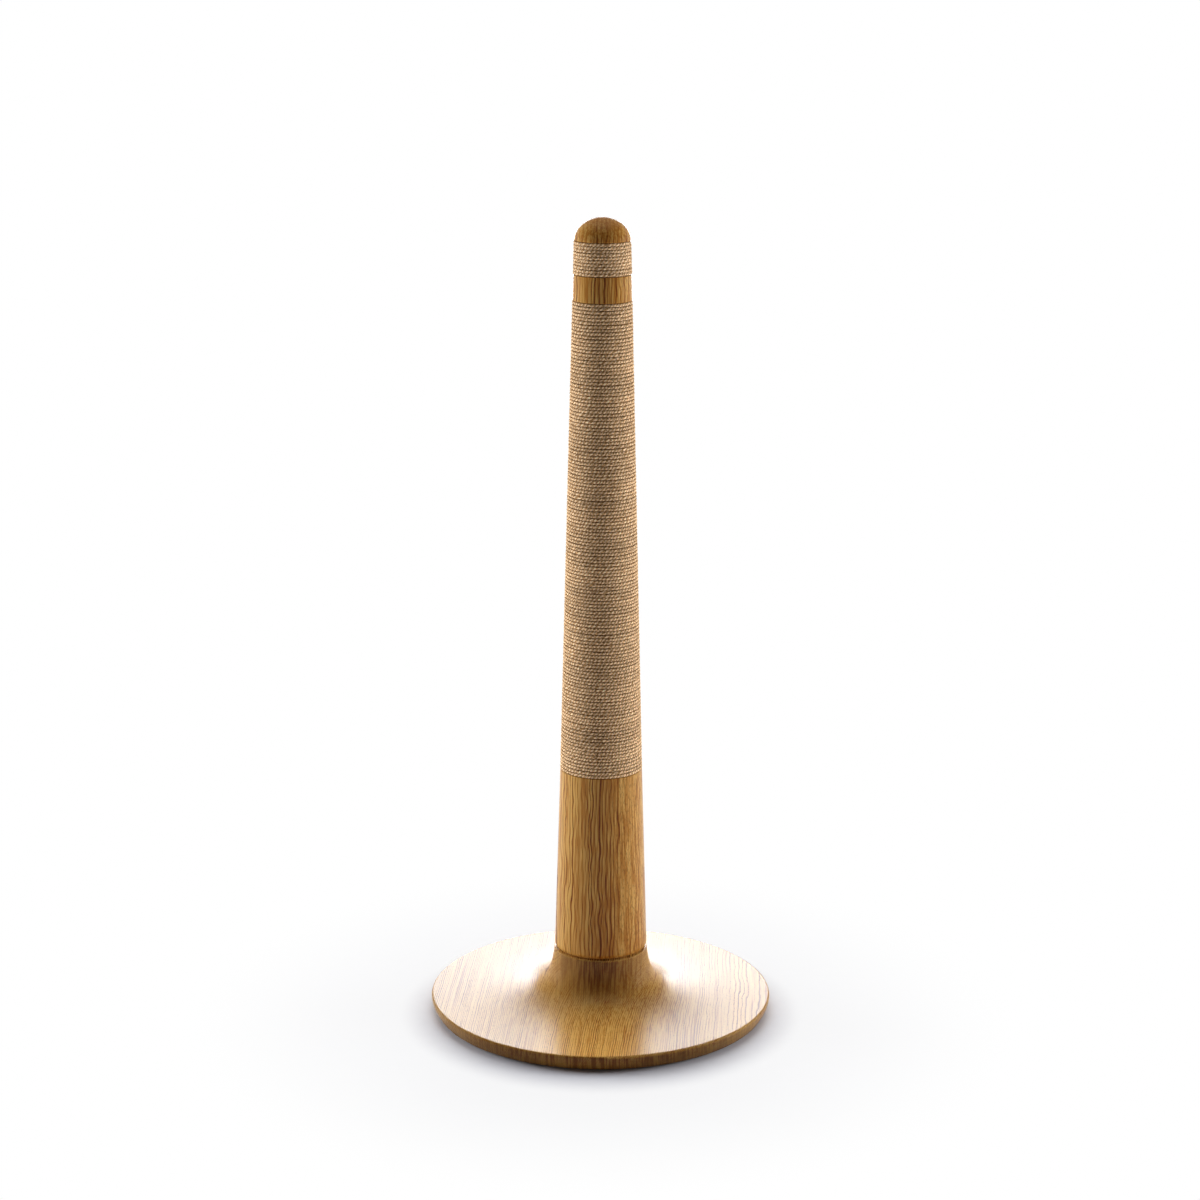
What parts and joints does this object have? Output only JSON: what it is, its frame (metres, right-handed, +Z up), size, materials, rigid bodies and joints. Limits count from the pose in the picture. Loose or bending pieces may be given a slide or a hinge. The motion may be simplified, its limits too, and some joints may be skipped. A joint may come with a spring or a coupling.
{
  "type": "cat scratching post",
  "caption": "Free-standing cat scratcher: a tapered turned oak post wound with thin cord, with a bare foot, a wooden band and a domed top, on a flared round oak base.",
  "frame": {"origin": "on the floor, under the middle of the base", "axes": "+Z up along the post, -Y towards the viewer of the picture, +X to the right"},
  "size_m": [0.4, 0.4, 0.9305],
  "materials": {
    "oak": "satin",
    "cord": "matte",
    "zinc_steel": "satin",
    "beech": "matte",
    "ballast_steel": "matte",
    "rubber": "matte"
  },
  "bodies": {
    "root": {"base": "oak", "post": "oak", "main_winding": "cord", "top_winding": "cord", "tie_bolt": "zinc_steel", "bolt_washer": "zinc_steel", "threaded_insert": "zinc_steel", "locating_dowel_1": "beech", "locating_dowel_2": "beech", "ballast_plate": "ballast_steel", "ballast_screws": "zinc_steel", "foot_1": "rubber", "foot_2": "rubber", "foot_3": "rubber", "foot_4": "rubber", "foot_5": "rubber", "foot_6": "rubber"}
  },
  "joints": []
}
